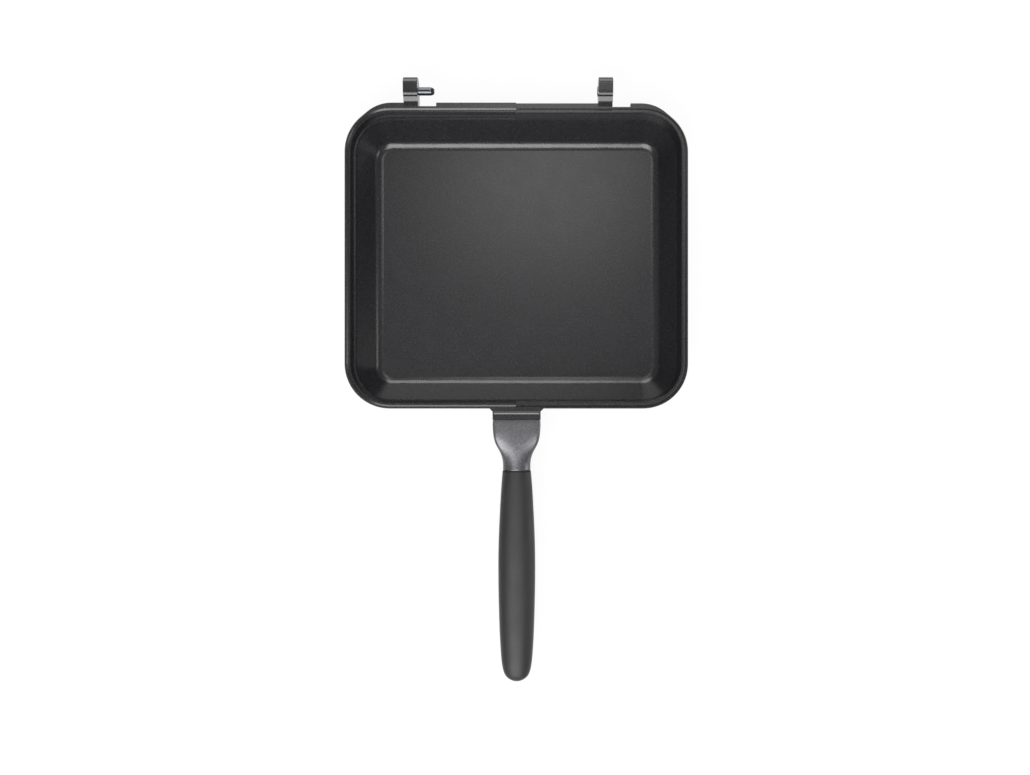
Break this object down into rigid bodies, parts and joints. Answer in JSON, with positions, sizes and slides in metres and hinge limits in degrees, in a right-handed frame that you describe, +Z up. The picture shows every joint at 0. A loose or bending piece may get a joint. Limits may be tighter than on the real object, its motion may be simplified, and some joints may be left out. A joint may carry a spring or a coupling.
{
  "type": "double flip pan half",
  "caption": "Square self-mating half of a hinged double pan: tapered tray, stepped rim, hinge lugs with pin and bore, and a soft grip on a cast neck.",
  "frame": {"origin": "centre of the flat base, on its underside", "axes": "+Y towards the hinge, -Y towards the grip, +Z up to the parting plane at 37 mm, on which the second half closes after half a turn about Y"},
  "size_m": [0.2748, 0.485, 0.045],
  "materials": {
    "pan_coating": "die-cast aluminium with dark grey non-stick coating, satin with a fine fleck",
    "lug_coating": "die-cast aluminium with dark grey coating",
    "screw_steel": "zinc-plated steel",
    "pin_steel": "polished steel",
    "bush_steel": "turned steel",
    "neck_enamel": "die-cast aluminium with satin metallic grey coat",
    "gasket_silicone": "black silicone",
    "grip_soft_touch": "dark grey soft-touch coated phenolic",
    "magnet_nickel": "nickel-plated magnet",
    "grip_plug": "dark moulded plastic"
  },
  "bodies": {
    "root": {"pan_body": "pan_coating", "hinge_lug_left": "lug_coating", "hinge_lug_right": "lug_coating", "lug_screws": "screw_steel", "hinge_pin": "pin_steel", "hinge_bush": "bush_steel", "handle_neck": "neck_enamel", "neck_screws": "screw_steel", "collar_gasket": "gasket_silicone", "grip": "grip_soft_touch", "grip_screw": "screw_steel", "closing_magnet_left": "magnet_nickel", "closing_magnet_right": "magnet_nickel", "magnet_cover": "grip_plug"}
  },
  "joints": []
}
